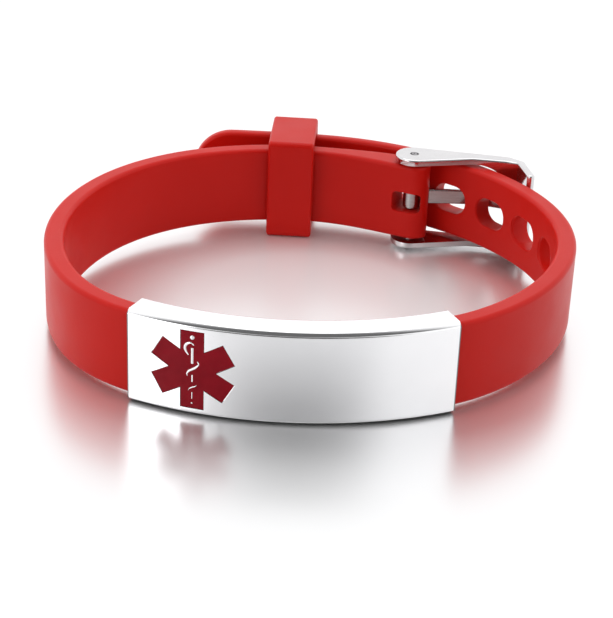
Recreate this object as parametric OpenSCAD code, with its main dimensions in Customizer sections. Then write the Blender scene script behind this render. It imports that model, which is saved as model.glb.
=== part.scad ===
// Medical alert bracelet: a soft silicone strap, a curved steel name plate with an enamelled
// six-armed star, and a pin buckle. It lies on its edge with the plate at the front (-Y).
// The loop is drawn in its own plane as one chain of tangent bends, then set down on the floor.

/* [Strap] */
// Width of the strap, from edge to edge
strap_w = 11.3; // [9.8:0.1:12.4]
// Thickness of the strap round the wrist
strap_t = 2.6; // [2.2:0.1:2.9]
// Thickness of the thinner free end
tail_t = 1.8; // [1.6:0.1:2.2]
// Thickness of the end that holds the spring bar
lug_t = 4.4; // [4.2:0.1:4.8]
// How far the round end's middle lies past the spring bar
lug_end = 0.25; // [0:0.05:0.6]
// Thickness of silicone left round the window's end
lug_wall = 0.55; // [0.5:0.05:0.8]
// Rounding of the strap's long edges
edge_r = 0.6; // [0.3:0.1:0.7]

/* [Holes] */
// Length of a hole along the strap
hole_l = 5.3; // [5.1:0.1:5.8]
// Height of a hole across the strap
hole_h = 4.2; // [4:0.1:5]
// Rounding of a hole's corners
hole_r = 1.9; // [1.2:0.1:1.9]
// How far along the strap the pinned hole lies past the spring bar
pinned_run = 6.95; // [6.65:0.05:7.25]
// Distance from one hole to the next
hole_pitch = 7.8; // [7:0.1:9]
// Holes between the pinned one and the plate
holes_free = 3; // [1:1:3]
// Holes between the pinned one and the tip
holes_tail = 2; // [0:1:2]

/* [Wrist loop] */
// Mean radius of the loop, which the bends on both sides follow
wrist_r = 30; // [28:0.5:32]
// Clear distance between the two layers where the free end lies over the strap
layer_gap = 3.2; // [2.6:0.1:3.6]
// Length of the thick end, from the spring bar to where both layers run side by side
lug_run = 14.45; // [13:0.05:17]
// How far the free end reaches past that place
tail_run = 19.1; // [15:0.1:24]
// Bend radius of the free end
tail_bend_r = 130; // [80:5:200]

/* [Name plate] */
// Length of the plate in a straight line
plate_l = 39.6; // [34:0.2:44]
// Thickness of the plate's top and bottom walls
plate_wall = 0.45; // [0.4:0.05:0.9]
// Radius of the plate's front face
plate_r = 46; // [42:0.5:52]
// How far the front face stands out from the strap
plate_proud = 0.8; // [0.6:0.05:1.2]
// How far the folded lips stand out behind the strap
lip_proud = 0.42; // [0.4:0.02:0.7]
// Height of each folded lip
lip_h = 3.2; // [2:0.1:4.5]
// Bevel along the front face's long edges
plate_bevel = 0.5; // [0.2:0.05:0.6]

/* [Star] */
// Length of each of the star's three bars
star_l = 10.4; // [8:0.1:10.6]
// Width of each bar
star_w = 3.0; // [2.6:0.1:3.2]
// Distance of the star's middle from the plate's left end, along its face
star_inset = 8.5; // [7:0.1:15]
// Depth of the enamelled field
star_depth = 0.3; // [0.15:0.05:0.4]
// Width of the staff and of the snake's line
staff_w = 0.4; // [0.3:0.05:0.45]

/* [Keeper] */
// Width of the keeper along the strap
keeper_w = 6.6; // [5:0.1:9]
// Thickness of the keeper's band
keeper_wall = 1.4; // [1:0.05:1.6]
// Where the keeper sits, along the strap from the spring bar
keeper_s = 18.25; // [17:0.05:21.5]

/* [Buckle] */
// Thickness of the buckle's two side arms
arm_t = 0.9; // [0.8:0.05:1.2]
// Radius of the round ends about the spring bar
lobe_r = 2.7; // [2.5:0.1:3]
// Radius of the arms at their middle
arm_mid_r = 1.15; // [1:0.05:1.4]
// How far the arms bow outwards
arm_bow = 1.0; // [0.6:0.1:1.4]
// How far along the strap the crossbar lies before the pinned hole
bar_run = 12; // [11.6:0.1:12.6]
// Radius of the corners inside the frame, between the arms and the crossbar
frame_corner = 5.2; // [1.5:0.1:5.2]
// Thickness of the crossbar
bar_t = 1.1; // [0.9:0.05:1.2]
// Width of the crossbar along the strap
bar_w = 5.9; // [5.2:0.1:6.2]
// Radius of the spring bar
pin_r = 0.75; // [0.6:0.05:0.85]
// Thickness of the tang's barrel round the spring bar
barrel_wall = 0.5; // [0.4:0.05:0.7]
// Height of the barrel along the spring bar
barrel_h = 2.7; // [2.4:0.1:3]
// Width of the tang
tang_w = 2.2; // [1.8:0.1:2.3]
// Thickness of the tang
tang_t = 0.7; // [0.6:0.05:0.75]

/* [Hidden] */
$fn = 96;
edge_steps = 3;
body_steps = 150;

// Clearances between pieces
plate_fit = 0.1;
keeper_fit = 0.5;
keeper_play = 0.35;
arm_fit = 0.4;
tang_fit = 0.1;
notch_fit = 0.08;
window_fit = 0.12;
pin_fit = 0.06;
enamel_fit = 0.03;
bar_fit = 0.15;

// The crossbar's lean in degrees towards the strap, and the arms' two bends as shares of the
// way to it, with the share of the bow and of the middle's radius that is left at the second
bar_lean = 23;
arm_mid_at = 0.54;
arm_end_at = 0.87;
arm_end_bow = 0.75;
arm_end_r = 0.85;

// How much of the crossbar's thickness lies beyond the opening at its round back, and the
// spring bar's tips, thinner than its body, which reach part of the way through the arms
bar_share = 0.9;
tip_r = 0.75;
tip_reach = 0.7;

silicone = [0.76, 0.13, 0.12];
steel = [0.8, 0.8, 0.82];
enamel = [0.52, 0.08, 0.13];

// The bends of each side: the share of the side's whole turn, and the radius as a share of
// wrist_r. A radius of 0 is worked out below, so that the loop always closes.
TURN = 0;
RADIUS = 1;
left_bends = [[0.18, 1.09], [0.24, 0.94], [0.33, 0], [0.25, 0.70]];
right_bends = [[0.07, 0.71], [0.26, 0], [0.33, 0.91], [0.34, 1.27]];

// Directions in degrees along the strap, which turns anticlockwise from the spring bar by
// the left side and the plate to the right side. At the plate's middle it is 360.
lap_heading = 173.7;
lug_turn = 17.4;
tail_flare = 0.8;
plate_h = strap_w + 2 * (plate_fit + plate_wall);
plate_half = asin(plate_l / 2 / plate_r);
plate_mid_r = plate_r - plate_proud - strap_t / 2;
left_turn = 360 - plate_half - lap_heading;
right_turn = lap_heading + tail_flare - plate_half;
lap = strap_t / 2 + layer_gap + tail_t / 2;

function outward(h) = [sin(h), -cos(h)];
function along(h) = [cos(h), sin(h)];
function chord(r, from, to) = r * [sin(to) - sin(from), cos(from) - cos(to)];
function turned(bends, n) = n == 0 ? 0 : bends[n - 1][TURN] + turned(bends, n - 1);
function side(bends, start, turn) = [for (i = [0 : len(bends) - 1])
    [bends[i][RADIUS] * wrist_r, start + turn * turned(bends, i), start + turn * turned(bends, i + 1)]];
function cross2(a, b) = a.x * b.y - a.y * b.x;
function sum(list, n) = n == 0 ? [0, 0] : list[n - 1] + sum(list, n - 1);

// Each row of a path is [radius, direction at its start, direction at its end]
R = 0;
FROM = 1;
TO = 2;
open_loop = concat(
    side(left_bends, lap_heading, left_turn),
    [[plate_mid_r, 360 - plate_half, 360 + plate_half]],
    side(right_bends, 360 + plate_half, right_turn)
);
known = [for (row = open_loop) chord(row[R], row[FROM], row[TO])];
missing = lap * outward(lap_heading) - sum(known, len(known));
unset = [for (row = open_loop) if (row[R] == 0) chord(1, row[FROM], row[TO])];
left_r = cross2(missing, unset[1]) / cross2(unset[0], unset[1]);
right_r = cross2(unset[0], missing) / cross2(unset[0], unset[1]);
closed_loop = [for (row = open_loop)
    row[R] > 0 ? row : [row[FROM] < 360 ? left_r : right_r, row[FROM], row[TO]]];
tail_heading = 360 + lap_heading + tail_flare;
path = concat(
    [[lug_run / lug_turn * 180 / PI, lap_heading - lug_turn, lap_heading]],
    closed_loop,
    [[tail_bend_r, tail_heading, tail_heading + tail_run / tail_bend_r * 180 / PI]]
);

// Lengths and corners of the path, and the place at a given length or direction
function row_length(row) = row[R] * (row[TO] - row[FROM]) * PI / 180;
function length_to(n) = n == 0 ? 0 : row_length(path[n - 1]) + length_to(n - 1);
corners = [for (n = [0 : len(path)]) sum([for (row = path) chord(row[R], row[FROM], row[TO])], n)];
lengths = [for (n = [0 : len(path)]) length_to(n)];
path_l = lengths[len(path)];
function row_at(s) = max([for (i = [0 : len(path) - 1]) if (lengths[i] <= s || i == 0) i]);
function heading_at(s) = let (i = row_at(s)) path[i][FROM] + (s - lengths[i]) / path[i][R] * 180 / PI;
function point_at(s) = let (i = row_at(s))
    corners[i] + chord(path[i][R], path[i][FROM], heading_at(s));
function point_facing(h) = [for (i = [0 : len(path) - 1])
    if (path[i][FROM] <= h && path[i][TO] > h) corners[i] + chord(path[i][R], path[i][FROM], h)][0];

// Places along the path
pinned_s = lengths[10] - lug_run - pinned_run;
thin_from = pinned_s + hole_l / 2 + edge_r;
thin_run = hole_pitch - hole_l + edge_r;
bar_s = pinned_s - bar_run;

// Points of the buckle in the loop's plane
bar_in = point_at(bar_s) + (strap_t / 2 + bar_fit + bar_t / 2) * outward(heading_at(bar_s));
bar_heading = heading_at(bar_s) - bar_lean;
bar_out = bar_in + (bar_w - bar_t) * along(bar_heading);
arm_side = [-bar_out.y, bar_out.x] / norm(bar_out);
arm_mid = bar_out * arm_mid_at + arm_bow * arm_side;
arm_end = bar_out * arm_end_at + arm_bow * arm_end_bow * arm_side;

// The keeper's inside reaches from the strap to the free end outside it
keeper_turn = -3;
tail_step = point_at(lengths[len(path) - 1] + keeper_s - lug_run) - point_at(keeper_s);
keeper_in = -strap_t / 2 - keeper_fit;
keeper_out = tail_step * outward(heading_at(keeper_s)) + tail_t / 2 + keeper_fit;
keeper_h = strap_w + 2 * (keeper_play + keeper_wall);

// At rest the plate's front edge and the keeper's inner edge stand on the floor
plate_foot = point_facing(360).y - strap_t / 2 - plate_proud + plate_bevel;
keeper_foot = point_at(keeper_s).y + keeper_in - keeper_wall;
rest_tilt = atan((keeper_h - plate_h) / 2 / (keeper_foot - plate_foot));
rest_lift = plate_h / 2 * cos(rest_tilt) - plate_foot * sin(rest_tilt);
left_x = point_facing(270).x - strap_t / 2;
right_x = point_facing(450).x + strap_t / 2;
front_y = (plate_foot - plate_bevel) * cos(rest_tilt) - (plate_h / 2 - plate_bevel) * sin(rest_tilt);
back_y = (point_at(keeper_s).y + keeper_out + keeper_wall) * cos(rest_tilt)
    + keeper_h / 2 * sin(rest_tilt);

// Sets the loop down on the floor, with the middle of its outline at the origin
module at_rest() {
    translate([-(left_x + right_x) / 2, -(front_y + back_y) / 2, rest_lift])
        rotate([rest_tilt, 0, 0]) children();
}

// A place on the strap: +X points outwards, +Y along the strap and +Z up
module station(s) {
    translate(point_at(s)) rotate(heading_at(s) - 90) children();
}

// Turns a flat shape so that its x runs along the strap, its y up and its height outwards
module facing_out(depth) {
    rotate([90, 0, 90]) linear_extrude(depth, center = true) children();
}

module rounded(size, r) {
    square([size.x - 2 * r, size.y], center = true);
    square([size.x, size.y - 2 * r], center = true);
    for (x = [-1, 1], y = [-1, 1])
        translate([x * (size.x / 2 - r), y * (size.y / 2 - r)]) circle(r);
}

// The strap's thickness and width at a length: thick at the spring bar, thin past the holes,
// round at both ends
function ease(u) = (1 - cos(180 * min(max(u, 0), 1))) / 2;
function full_t(s) = strap_t + (lug_t - strap_t) * (1 - ease(s / lug_run))
    + (tail_t - strap_t) * ease((s - thin_from) / thin_run);
function thickness_at(s) = let (past = -s - lug_end)
    past > 0 ? lug_t * sqrt(1 - pow(2 * past / lug_t, 2)) : full_t(s);
function width_at(s) = let (left = path_l - s)
    left < strap_w / 2 ? 2 * sqrt(left * (strap_w - left)) : strap_w;

// The corners of the strap's section, anticlockwise with x outwards
function section(t, w) = let (r = min(edge_r, t * 0.4, w * 0.4))
    [for (q = [0 : 3], a = [0 : 90 / edge_steps : 90]) let (sx = q == 0 || q == 3 ? 1 : -1, sy = q < 2 ? 1 : -1)
        [sx * (t / 2 - r) + r * cos(90 * q + a), sy * (w / 2 - r) + r * sin(90 * q + a)]];
function ring(s) = let (o = point_at(s), n = outward(heading_at(s)))
    [for (p = section(thickness_at(s), width_at(s))) [o.x + p.x * n.x, o.y + p.x * n.y, p.y]];

// The outline round a chain of discs, with straight sides and round ends. It goes up the
// right side and back down the left one. An outer corner is an arc and an inner one a point.
function swing(from, to) = (to - from + 900) % 360 - 180;
function arc(c, r, from, turn) = let (n = ceil(turn / 12))
    [for (i = [0 : n]) c + r * along(from + turn * i / n)];
function corner(c, r, from, to) = let (turn = swing(from, to))
    turn > 1 ? arc(c, r, from, turn) : [c + r / cos(turn / 2) * along(from + turn / 2)];
function outline(c, r) =
    let (
        last = len(c) - 1,
        lean = [for (i = [0 : last - 1]) acos((r[i] - r[i + 1]) / norm(c[i + 1] - c[i]))],
        way = [for (i = [0 : last - 1]) atan2(c[i + 1].y - c[i].y, c[i + 1].x - c[i].x)],
        right = [for (i = [0 : last - 1]) way[i] - lean[i]],
        left = [for (i = [0 : last - 1]) way[i] + lean[i]]
    )
    concat(
        arc(c[0], r[0], left[0], 360 - 2 * lean[0]),
        [for (i = [1 : 1 : last - 1], p = corner(c[i], r[i], right[i - 1], right[i])) p],
        arc(c[last], r[last], right[last - 1], 2 * lean[last - 1]),
        [for (i = [last - 1 : -1 : 1], p = corner(c[i], r[i], left[i], left[i - 1])) p]
    );

// The whole strap as one sweep, with the rings closer together at its round ends
module strap_body() {
    body_l = path_l - strap_w / 2;
    places = concat(
        [for (a = [80 : -10 : 0]) -lug_end - lug_t / 2 * sin(a)],
        [for (i = [0 : body_steps]) body_l * i / body_steps],
        [for (a = [9 : 9 : 81]) path_l - strap_w / 2 * (1 - sin(a))]
    );
    rings = [for (s = places) ring(s)];
    n = len(rings[0]);
    last = len(rings) - 1;
    polyhedron(
        points = [for (r = rings, p = r) p],
        faces = concat(
            [[for (j = [n - 1 : -1 : 0]) j], [for (j = [0 : n - 1]) last * n + j]],
            [for (i = [0 : last - 1], j = [0 : n - 1]) let (k = (j + 1) % n)
                [i * n + j, i * n + k, (i + 1) * n + k, (i + 1) * n + j]]
        ),
        convexity = 6
    );
}

module strap() {
    window_end = lug_end + lug_t / 2 - lug_wall;
    window_l = window_end + tang_w;
    color(silicone) at_rest() difference() {
        strap_body();
        for (i = [-holes_free : holes_tail])
            station(pinned_s + i * hole_pitch)
                facing_out(2 * lug_t) rounded([hole_l, hole_h], hole_r);
        // The window for the tang's barrel, and the bore for the spring bar
        station(window_l / 2 - window_end)
            facing_out(2 * lug_t) rounded([window_l, barrel_h + 2 * window_fit], edge_r);
        cylinder(h = 2 * strap_w, r = pin_r + pin_fit, center = true);
    }
}

module keeper() {
    depth = keeper_out - keeper_in;
    color(silicone) at_rest() station(keeper_s) rotate(keeper_turn)
        translate([(keeper_in + keeper_out) / 2, 0, 0])
        rotate([90, 0, 0]) linear_extrude(keeper_w, center = true) difference() {
            rounded([depth + 2 * keeper_wall, keeper_h], keeper_wall / 2);
            rounded([depth, keeper_h - 2 * keeper_wall], keeper_wall / 4);
        }
}

// The plate's middle of curvature, with +X pointing in the direction that a heading faces
module at_plate(heading) {
    translate(point_facing(360) - plate_mid_r * outward(360)) rotate(heading - 90) children();
}

module plate_section() {
    depth = plate_proud + strap_t + lip_proud;
    inner = plate_mid_r - strap_t / 2 - plate_fit;
    outer = plate_mid_r + strap_t / 2 + plate_fit;
    back_bevel = plate_bevel / 2;
    difference() {
        polygon([
            [plate_r - depth, -plate_h / 2 + back_bevel],
            [plate_r - depth + back_bevel, -plate_h / 2],
            [plate_r - plate_bevel, -plate_h / 2],
            [plate_r, -plate_h / 2 + plate_bevel],
            [plate_r, plate_h / 2 - plate_bevel],
            [plate_r - plate_bevel, plate_h / 2],
            [plate_r - depth + back_bevel, plate_h / 2],
            [plate_r - depth, plate_h / 2 - back_bevel],
        ]);
        translate([inner, -strap_w / 2 - plate_fit]) square([outer - inner, strap_w + 2 * plate_fit]);
        translate([plate_r - 2 * depth, -plate_h / 2 + lip_h])
            square([inner - plate_r + 2 * depth + plate_fit, plate_h - 2 * lip_h]);
    }
}

// Everything in front of a depth below the plate's face, within the flats of the star
module plate_front(depth) {
    at_plate(360 - plate_half) rotate_extrude(angle = 2 * plate_half)
        translate([plate_r - depth, -plate_h]) square([plate_h, 2 * plate_h]);
}

module on_star() {
    at_plate(360 - plate_half + star_inset / plate_r * 180 / PI)
        translate([plate_r, 0, 0]) facing_out(star_l / 2) children();
}

module star_outline(inset) {
    for (turn = [0, 60, 120])
        rotate(turn) square([star_w - 2 * inset, star_l - 2 * inset], center = true);
}

// A line of even width along part of a circle, with round ends
module arc_line(centre, r, from, to, w) {
    translate(centre) {
        intersection() {
            difference() {
                circle(r + w / 2);
                circle(r - w / 2);
            }
            polygon(concat([[0, 0]], [for (i = [0 : 6])
                2 * r * along(from + (to - from) * i / 6)]));
        }
        for (a = [from, to]) translate(r * along(a)) circle(w / 2);
    }
}

module bar_line(from, to, w) {
    translate([-w / 2, from]) square([w, to - from]);
}

// The staff with one snake about it, in front of the staff at two crossings and behind it
// between them. The unit is a tenth of the star's bar, which it stands in.
module staff_and_snake(grow) {
    u = star_l / 10;
    w = staff_w + 2 * grow;
    snake_w = staff_w * 0.9 + 2 * grow;
    for (dot = [[4.15, 0.3], [-4.15, 0.25]]) translate([0, dot.x * u]) circle(dot.y * u + grow);
    for (piece = [[0.85, 3.35], [-1.5, -0.6], [-3.65, -2.9]])
        bar_line(piece.x * u - grow, piece.y * u + grow, w);
    // Head, then two coils that cross the staff where it is broken
    arc_line([0, 2.65] * u, 0.75 * u, 75, 215, snake_w);
    arc_line([0.05, 0.65] * u, 0.6 * u, -90, 70, snake_w);
    arc_line([-0.05, -0.55] * u, 0.6 * u, 85, 200, snake_w);
    arc_line([0, -1.75] * u, 0.4 * u, -90, 50, snake_w);
    arc_line([0, -2.55] * u, 0.45 * u, 85, 190, snake_w);
}

module id_plate() {
    color(steel) at_rest() difference() {
        at_plate(360 - plate_half) rotate_extrude(angle = 2 * plate_half) plate_section();
        intersection() {
            plate_front(star_depth);
            on_star() difference() {
                star_outline(0);
                staff_and_snake(0);
            }
        }
    }
}

module enamel_star() {
    color(enamel) at_rest() intersection() {
        at_plate(360 - plate_half) rotate_extrude(angle = 2 * plate_half)
            translate([plate_r - star_depth + enamel_fit, -plate_h])
            square([star_depth - 2 * enamel_fit, 2 * plate_h]);
        on_star() difference() {
            star_outline(enamel_fit);
            staff_and_snake(enamel_fit);
        }
    }
}

// One outline through the full height, opened between the arms, with a shallow notch in which
// the tang lies on the crossbar
module buckle_frame() {
    inside = strap_w / 2 + arm_fit;
    bar_r = bar_t / 2;
    places = [[0, 0], arm_mid, arm_end, bar_out, bar_in];
    radii = [lobe_r, arm_mid_r, arm_mid_r * arm_end_r, bar_r, bar_r];
    opening_end = norm(bar_out) - bar_share * bar_t;
    opening_l = opening_end + lobe_r + 2 * frame_corner;
    color(steel) at_rest() difference() {
        linear_extrude(2 * (inside + arm_t), center = true) polygon(outline(places, radii));
        rotate(atan2(bar_out.y, bar_out.x)) translate([opening_end - opening_l / 2, 0, 0])
            rotate([90, 0, 0]) linear_extrude(4 * lobe_r, center = true)
            rounded([opening_l, 2 * inside], frame_corner);
        linear_extrude(tang_w + 2 * notch_fit, center = true) tang_outline(notch_fit);
        cylinder(h = 2 * strap_w, r = pin_r * tip_r + pin_fit, center = true);
    }
}

module spring_bar() {
    body_h = strap_w + 2 * arm_fit - 2 * pin_fit;
    color(steel) at_rest() {
        cylinder(h = body_h, r = pin_r, center = true);
        cylinder(h = body_h + 2 * tip_reach * arm_t, r = pin_r * tip_r, center = true);
    }
}

// The tang leaves its barrel through the strap's window, goes out through the pinned hole and
// rests on the crossbar
module tang_outline(grow) {
    barrel_r = pin_r + barrel_wall;
    lug_tip = -lug_end * along(path[0][FROM]);
    over_lug = lug_t / 2 + tang_t / 2 + tang_fit;
    over_bar = bar_t / 2 + tang_t / 2 + tang_fit;
    hole = point_at(pinned_s);
    points = [
        (barrel_r - tang_t / 2) * outward(path[0][FROM]),
        lug_tip + 0.82 * over_lug * along(60),
        lug_tip + over_lug * along(27),
        hole,
        hole + [1.4 * tang_w, 0],
        for (a = [-20 : -14 : -48]) bar_out + over_bar * along(bar_heading + a),
    ];
    polygon(outline(points, [for (p = points) tang_t / 2 + grow]));
}

module tang() {
    color(steel) at_rest() difference() {
        union() {
            linear_extrude(tang_w, center = true) tang_outline(0);
            cylinder(h = barrel_h, r = pin_r + barrel_wall, center = true);
        }
        cylinder(h = 2 * strap_w, r = pin_r + pin_fit, center = true);
    }
}

strap();
keeper();
id_plate();
enamel_star();
buckle_frame();
spring_bar();
tang();
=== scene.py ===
"""Looks of a medical alert bracelet: silicone strap and keeper, polished name plate with an
enamelled star, and a polished pin buckle, lying on a pale glossy floor."""

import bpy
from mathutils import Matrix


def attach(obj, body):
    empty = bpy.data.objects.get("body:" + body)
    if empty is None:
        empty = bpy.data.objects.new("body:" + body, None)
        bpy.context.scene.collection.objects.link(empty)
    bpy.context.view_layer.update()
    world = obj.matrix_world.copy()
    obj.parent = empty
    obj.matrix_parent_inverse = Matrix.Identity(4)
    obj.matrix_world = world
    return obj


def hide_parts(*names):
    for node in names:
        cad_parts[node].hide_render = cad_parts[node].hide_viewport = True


bl_info = {
    "name": "Medical Alert Bracelet",
    "version": (1, 0, 0),
    "blender": (4, 5, 0),
    "location": "View3D > Sidebar > Bracelet",
    "description": "Builds the finished strap, name plate, star and buckle of a medical bracelet",
    "category": "Object",
}

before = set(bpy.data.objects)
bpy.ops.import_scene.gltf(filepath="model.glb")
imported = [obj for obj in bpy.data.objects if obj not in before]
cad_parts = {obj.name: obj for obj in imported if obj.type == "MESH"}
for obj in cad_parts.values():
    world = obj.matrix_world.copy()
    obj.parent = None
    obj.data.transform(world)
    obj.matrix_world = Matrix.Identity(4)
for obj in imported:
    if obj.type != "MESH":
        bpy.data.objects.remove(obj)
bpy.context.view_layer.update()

from math import acos, asin, atan, atan2, ceil, cos, degrees, pi, radians, sin, sqrt

import bmesh
import bpy
from bpy.props import FloatProperty, FloatVectorProperty, IntProperty, PointerProperty
from bpy.types import Operator, Panel, PropertyGroup
from mathutils import Matrix, Vector

MM = 0.001

# Shares and small reaches that a user would leave alone.
ARM_MIDDLE, ARM_END = 0.54, 0.87     # where the arms bend, on the way to the crossbar
END_BOW = 0.75                       # the arms' bow at their end, as a share of the full bow
END_WIDTH = 0.85                     # the arms' width there, as a share of their middle's
BAR_SHARE = 0.9                      # how much of the crossbar the frame's opening leaves
NOTCH_SHARE = 0.8                    # the notch's clearance, as a share of the tang's
BAR_LEAN = 23                        # how far the crossbar turns in from the strap, in degrees
TIP_SHARE = 0.75                     # the spring bar's tips, as a share of its radius
RIM = 0.14 * MM                      # softly rounded rim of a hole
FAR = 12 * MM                        # past any piece of the buckle, for the bores
FACE_STEPS = 160                     # steps along the name plate
ENAMEL_GAP = 0.07 * MM               # groove round the enamel, inside the star's outline
SNAKE_TIP = 0.3                      # width of the snake's ends, as a share of its middle
FLOOR_REACH = 6                      # half of the floor's width
RING = (33.6 * MM, 32.5 * MM)        # half the bracelet's length and depth on the floor
VIEWER_ZONE = (-0.91, -0.72)         # where the room turns dark behind the viewer
CEILING_ZONE = (0.55, 0.75)          # where the dark ceiling starts
CAMERA_HEIGHT, CAMERA_ROLL = 25.601, 2.315               # in degrees
CAMERA_PLACE = (-0.014652, -0.236934, 0.094917)          # from the spring bar's middle


# Sizes and colours that a user would change.

def length(label, text, default):
    return FloatProperty(name=label, description=text, default=default * MM, min=0,
                         unit="LENGTH", subtype="DISTANCE", precision=5)


def colour(label, text, default):
    return FloatVectorProperty(name=label, description=text, default=default, min=0, max=1,
                               size=3, subtype="COLOR")


class StrapSizes(PropertyGroup):
    width: length("Width", "Width of the strap from edge to edge", 11.3)
    thickness: length("Thickness", "Thickness round the wrist", 2.6)
    tail: length("Free end", "Thickness of the free end", 1.8)
    lug: length("Thick end", "Thickness at the spring bar", 4.4)
    edge: length("Edge", "Rounding of the long edges", 0.6)
    hole_length: length("Hole length", "Length of a hole along the strap", 5.3)
    hole_height: length("Hole height", "Height of a hole across the strap", 4.2)
    hole_corner: length("Hole corner", "Rounding of a hole's corners", 1.9)
    hole_pitch: length("Hole pitch", "Distance from one hole to the next", 7.8)
    wrist: length("Wrist radius", "Mean radius of the loop", 30)
    gap: length("Layer gap", "Clear distance between the two layers", 3.2)
    lug_run: length("Thick run", "Length of the thick end", 14.45)
    lug_end: length("Round end", "How far the round end's middle lies past the spring bar", 0.25)
    lug_wall: length("End wall", "Silicone left round the window's end", 0.55)
    tail_run: length("Free run", "Reach of the free end past the thick end", 19.1)
    tail_bend: length("Free bend", "Bend radius of the free end", 130)
    pinned: length("Pinned hole", "Distance of the pinned hole past the spring bar", 6.95)
    free_holes: IntProperty(name="Holes before", description="Holes before the pinned one", default=3)
    tail_holes: IntProperty(name="Holes after", description="Holes after the pinned one", default=2)
    keeper_width: length("Keeper width", "Width of the keeper along the strap", 6.6)
    keeper_wall: length("Keeper wall", "Thickness of the keeper's band", 1.4)
    keeper_fit: length("Keeper fit", "Clearance in front of and behind the strap", 0.5)
    keeper_play: length("Keeper play", "Clearance above and below the strap", 0.35)
    keeper_place: length("Keeper place", "Where the keeper sits along the strap", 18.25)
    red: colour("Silicone", "Colour of the silicone", (0.62, 0.010, 0.005))
    red_worn: colour("Silicone shade", "Deeper shade of the silicone", (0.56, 0.008, 0.004))


class PlateSizes(PropertyGroup):
    long: length("Length", "Length of the plate in a straight line", 39.6)
    height: length("Height", "Height of the plate", 12.4)
    radius: length("Radius", "Radius of the front face", 46)
    proud: length("Proud", "How far the face stands out from the strap", 0.8)
    lip_proud: length("Lip depth", "How far the lips stand out behind the strap", 0.42)
    lip: length("Lip height", "Height of each folded lip", 3.2)
    bevel: length("Bevel", "Bevel along the front face's edges", 0.5)
    fit: length("Fit", "Clearance between the plate and the strap", 0.1)
    star: length("Star", "Length of each of the star's three bars", 10.4)
    star_bar: length("Star bar", "Width of each bar", 3.0)
    star_inset: length("Star inset", "Distance of the star's middle from the left end", 8.5)
    star_depth: length("Star depth", "Depth of the enamelled field", 0.3)
    staff: length("Staff", "Width of the staff", 0.4)
    steel: colour("Steel", "Colour of the polished steel", (0.95, 0.95, 0.965))
    enamel: colour("Enamel", "Colour of the enamel", (0.30, 0.005, 0.014))


class BuckleSizes(PropertyGroup):
    arm: length("Arm", "Thickness of the side arms", 0.9)
    arm_fit: length("Arm fit", "Clearance between the arms and the strap", 0.4)
    lobe: length("Lobe", "Radius of the round ends about the spring bar", 2.7)
    middle: length("Middle", "Radius of the arms at their middle", 1.15)
    bow: length("Bow", "How far the arms bow outwards", 1.0)
    corner: length("Corner", "Radius of the frame's inner corners at the crossbar", 5.2)
    bar: length("Crossbar", "Thickness of the crossbar", 1.1)
    bar_width: length("Crossbar width", "Width of the crossbar along the strap", 5.9)
    bar_run: length("Crossbar run", "Distance of the crossbar from the pinned hole", 12)
    bar_fit: length("Crossbar fit", "Clearance between the crossbar and the strap", 0.15)
    pin: length("Spring bar", "Radius of the spring bar", 0.75)
    pin_fit: length("Bar fit", "Clearance round the spring bar", 0.06)
    barrel_wall: length("Barrel wall", "Thickness of the tang's barrel", 0.5)
    barrel: length("Barrel", "Height of the tang's barrel", 2.7)
    window_fit: length("Window fit", "Clearance above and below the barrel", 0.12)
    tang_width: length("Tang width", "Width of the tang", 2.2)
    tang: length("Tang", "Thickness of the tang", 0.7)
    tang_fit: length("Tang fit", "Clearance of the tang", 0.1)
    rounding: length("Rounding", "Rounding of the buckle's polished edges", 0.3)
    steel: colour("Steel", "Colour of the polished metal", (0.70, 0.69, 0.70))
    # The tang's colour is the steel darkened: painted shade in place of the tang's darker reflection.
    shaded_tang_steel: colour("Tang steel", "Colour of the tang's plainer metal", (0.42, 0.405, 0.40))


class StageLook(PropertyGroup):
    floor: colour("Floor", "Colour of the floor", (0.95, 0.95, 0.955))
    gloss: FloatProperty(name="Floor roughness", description="Roughness of the floor",
                         default=0.28, min=0, max=1, subtype="FACTOR")
    mirror: FloatProperty(name="Floor mirror",
                          description="How strongly the floor mirrors beside the strap",
                          default=0.76, min=0, max=1, subtype="FACTOR")
    far_mirror: FloatProperty(name="Far mirror",
                              description="How strongly the floor mirrors further off",
                              default=0.26, min=0, max=1, subtype="FACTOR")
    sky: FloatProperty(name="Room light", description="Strength of the room's soft light",
                       default=1.15, min=0)
    viewer: FloatProperty(name="Viewer's side",
                          description="How much darker the room is behind the viewer",
                          default=0.97, min=0, max=1, subtype="FACTOR")
    ceiling: FloatProperty(name="Ceiling",
                           description="How much darker the room is above the viewer",
                           default=0.88, min=0, max=1, subtype="FACTOR")
    top: FloatProperty(name="Top light", description="Power of the soft light above",
                       default=0.5, min=0, unit="POWER")
    fill: FloatProperty(name="Fill light", description="Power of the soft light from the front left",
                        default=0.3, min=0, unit="POWER")
    lens: FloatProperty(name="Lens", description="Focal length of the camera",
                        default=101.7, min=10, unit="CAMERA")


# The line that the strap follows.

def outward(h):
    return Vector((sin(radians(h)), -cos(radians(h))))


def along(h):
    return Vector((cos(radians(h)), sin(radians(h))))


def chord(r, start, end):
    a, b = radians(start), radians(end)
    return r * Vector((sin(b) - sin(a), cos(a) - cos(b)))


def cross(a, b):
    return a.x * b.y - a.y * b.x


def ease(u):
    return (1 - cos(pi * min(max(u, 0), 1))) / 2


# Share of each side's turn, and bend radius as a share of the wrist radius. A radius of 0
# is worked out so that the loop closes.
LEFT_BENDS = ((0.18, 1.09), (0.24, 0.94), (0.33, 0), (0.25, 0.70))
RIGHT_BENDS = ((0.07, 0.71), (0.26, 0), (0.33, 0.91), (0.34, 1.27))
LAP_HEADING = 173.7    # where the strap's two layers run side by side, in degrees
LUG_TURN = 17.4        # how far the thick end bends, in degrees
TAIL_FLARE = 0.8       # how far the outer layer turns away from the inner one, in degrees


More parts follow.
